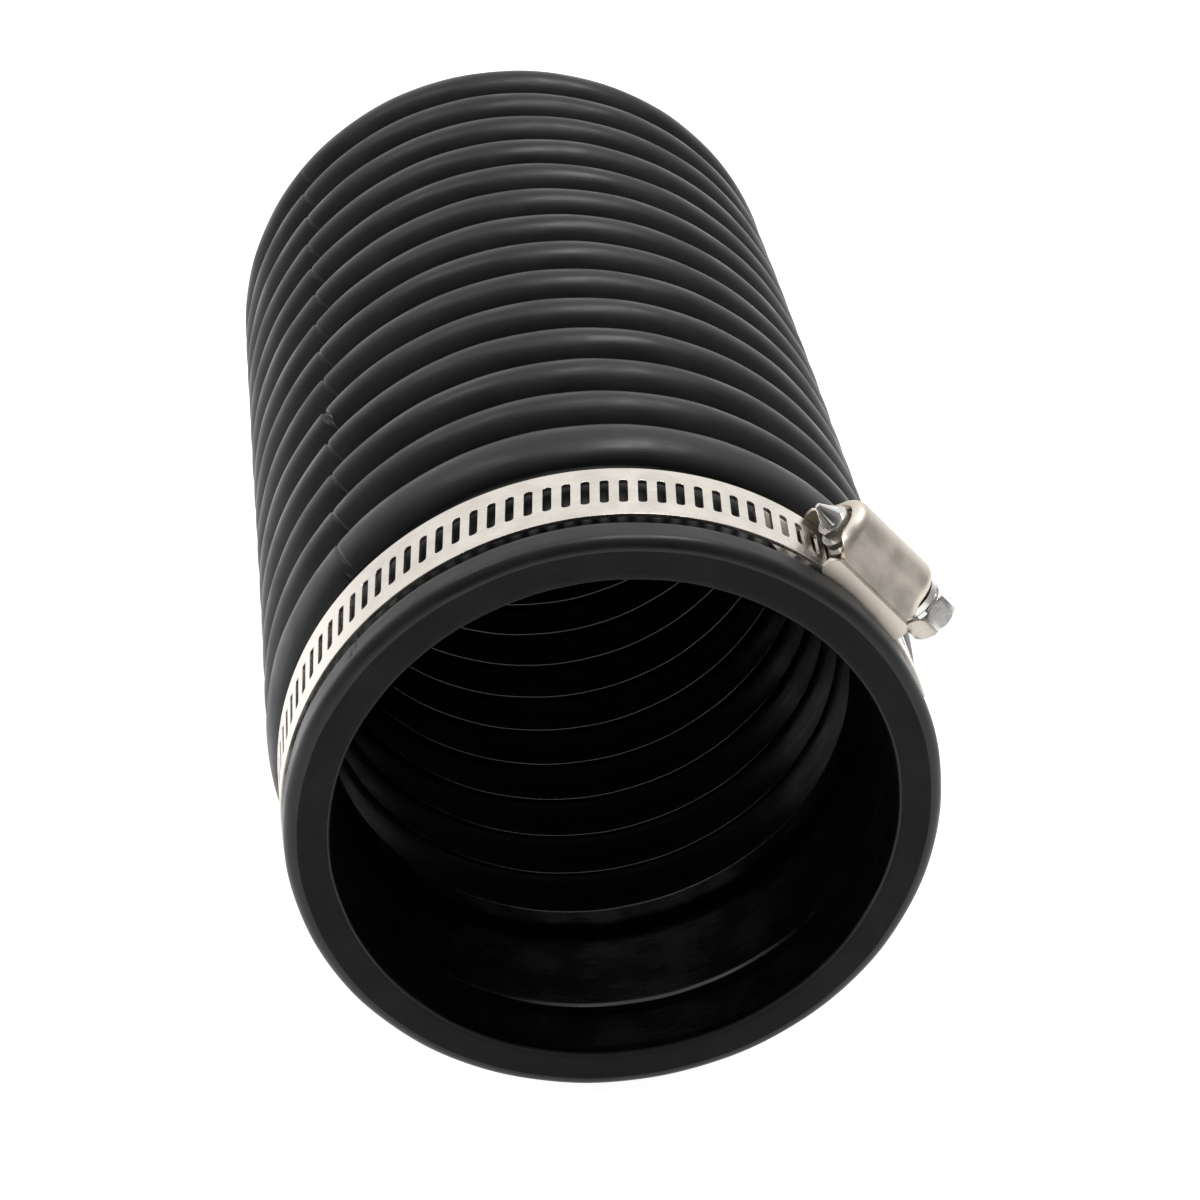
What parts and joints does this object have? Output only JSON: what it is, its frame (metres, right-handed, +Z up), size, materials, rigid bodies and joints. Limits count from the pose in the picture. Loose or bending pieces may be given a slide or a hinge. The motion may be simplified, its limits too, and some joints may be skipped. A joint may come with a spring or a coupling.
{
  "type": "flexible pipe coupling",
  "caption": "Flexible ribbed rubber bellows coupling for 3 inch pipe, with a slotted steel worm-drive clamp round its front cuff and a short plain rear end.",
  "frame": {"origin": "on the coupling axis, half way between the two end faces", "axes": "+Y along the coupling axis from the front mouth to the rear mouth, +Z up, the clamp housing at upper +X"},
  "size_m": [0.1075, 0.1942, 0.1062],
  "materials": {
    "rubber": "satin moulded",
    "band_steel": "bright rolled strip",
    "housing_steel": "satin pressed",
    "screw_steel": "satin machined"
  },
  "bodies": {
    "front_cuff": {"front_cuff": "rubber"},
    "convolution_01": {"convolution_01": "rubber"},
    "convolution_02": {"convolution_02": "rubber"},
    "convolution_03": {"convolution_03": "rubber"},
    "convolution_04": {"convolution_04": "rubber"},
    "convolution_05": {"convolution_05": "rubber"},
    "convolution_06": {"convolution_06": "rubber"},
    "convolution_07": {"convolution_07": "rubber"},
    "convolution_08": {"convolution_08": "rubber"},
    "convolution_09": {"convolution_09": "rubber"},
    "convolution_10": {"convolution_10": "rubber"},
    "convolution_11": {"convolution_11": "rubber"},
    "convolution_12": {"convolution_12": "rubber"},
    "rear_cuff": {"rear_cuff": "rubber"},
    "clamp": {"clamp_housing": "housing_steel", "band_fixed_end": "band_steel"},
    "band": {"band_slotted_end": "band_steel"},
    "screw": {"clamp_screw": "screw_steel"}
  },
  "joints": [
    {"name": "swing_1", "type": "hinge", "parent": "front_cuff", "child": "convolution_01", "pos_m": [0, -0.0594, 0], "axis": [0, 0, 1], "range_deg": [-2.75, 2.75], "stiffness_Nm_per_rad": 40},
    {"name": "squeeze_1", "type": "slide", "parent": "convolution_01", "child": "convolution_02", "axis": [0, -1, 0], "range_m": [-0.0022, 0.0022], "stiffness_N_per_m": 4000},
    {"name": "lift_1", "type": "hinge", "parent": "convolution_02", "child": "convolution_03", "pos_m": [0, -0.0366, 0], "axis": [1, 0, 0], "range_deg": [-2.75, 2.75], "stiffness_Nm_per_rad": 40},
    {"name": "swing_2", "type": "hinge", "parent": "convolution_03", "child": "convolution_04", "pos_m": [0, -0.0252, 0], "axis": [0, 0, 1], "range_deg": [-2.75, 2.75], "stiffness_Nm_per_rad": 40},
    {"name": "squeeze_2", "type": "slide", "parent": "convolution_04", "child": "convolution_05", "axis": [0, -1, 0], "range_m": [-0.0022, 0.0022], "stiffness_N_per_m": 4000},
    {"name": "lift_2", "type": "hinge", "parent": "convolution_05", "child": "convolution_06", "pos_m": [0, -0.0024, 0], "axis": [1, 0, 0], "range_deg": [-2.75, 2.75], "stiffness_Nm_per_rad": 40},
    {"name": "swing_3", "type": "hinge", "parent": "convolution_06", "child": "convolution_07", "pos_m": [0, 0.009, 0], "axis": [0, 0, 1], "range_deg": [-2.75, 2.75], "stiffness_Nm_per_rad": 40},
    {"name": "squeeze_3", "type": "slide", "parent": "convolution_07", "child": "convolution_08", "axis": [0, -1, 0], "range_m": [-0.0022, 0.0022], "stiffness_N_per_m": 4000},
    {"name": "lift_3", "type": "hinge", "parent": "convolution_08", "child": "convolution_09", "pos_m": [0, 0.0318, 0], "axis": [1, 0, 0], "range_deg": [-2.75, 2.75], "stiffness_Nm_per_rad": 40},
    {"name": "swing_4", "type": "hinge", "parent": "convolution_09", "child": "convolution_10", "pos_m": [0, 0.0432, 0], "axis": [0, 0, 1], "range_deg": [-2.75, 2.75], "stiffness_Nm_per_rad": 40},
    {"name": "squeeze_4", "type": "slide", "parent": "convolution_10", "child": "convolution_11", "axis": [0, -1, 0], "range_m": [-0.0022, 0.0022], "stiffness_N_per_m": 4000},
    {"name": "lift_4", "type": "hinge", "parent": "convolution_11", "child": "convolution_12", "pos_m": [0, 0.066, 0], "axis": [1, 0, 0], "range_deg": [-2.75, 2.75], "stiffness_Nm_per_rad": 40},
    {"name": "swing_5", "type": "hinge", "parent": "convolution_12", "child": "rear_cuff", "pos_m": [0, 0.0774, 0], "axis": [0, 0, 1], "range_deg": [-2.75, 2.75], "stiffness_Nm_per_rad": 40},
    {"name": "clamp_swivel", "type": "hinge", "parent": "front_cuff", "child": "clamp", "pos_m": [0, -0.0827, 0], "axis": [0, 1, 0], "range_deg": [-180, 180]},
    {"name": "screw_turn", "type": "hinge", "parent": "clamp", "child": "screw", "pos_m": [0.04132, -0.0827, 0.0372], "axis": [-0.6691, 0, 0.7431], "range_deg": [-720, 1080]},
    {"name": "band_travel", "type": "hinge", "parent": "clamp", "child": "band", "pos_m": [0, -0.0827, 0], "axis": [0, 1, 0], "range_deg": [-6.45, 9.68]}
  ],
  "couplings": [
    {"joint": "swing_2", "follows": "swing_1", "ratio": 1},
    {"joint": "squeeze_2", "follows": "squeeze_1", "ratio": 1},
    {"joint": "lift_2", "follows": "lift_1", "ratio": 1},
    {"joint": "swing_3", "follows": "swing_1", "ratio": 1},
    {"joint": "squeeze_3", "follows": "squeeze_1", "ratio": 1},
    {"joint": "lift_3", "follows": "lift_1", "ratio": 1},
    {"joint": "swing_4", "follows": "swing_1", "ratio": 1},
    {"joint": "squeeze_4", "follows": "squeeze_1", "ratio": 1},
    {"joint": "lift_4", "follows": "lift_1", "ratio": 1},
    {"joint": "swing_5", "follows": "swing_1", "ratio": 1},
    {"joint": "band_travel", "follows": "screw_turn", "ratio": 0.0089621}
  ]
}
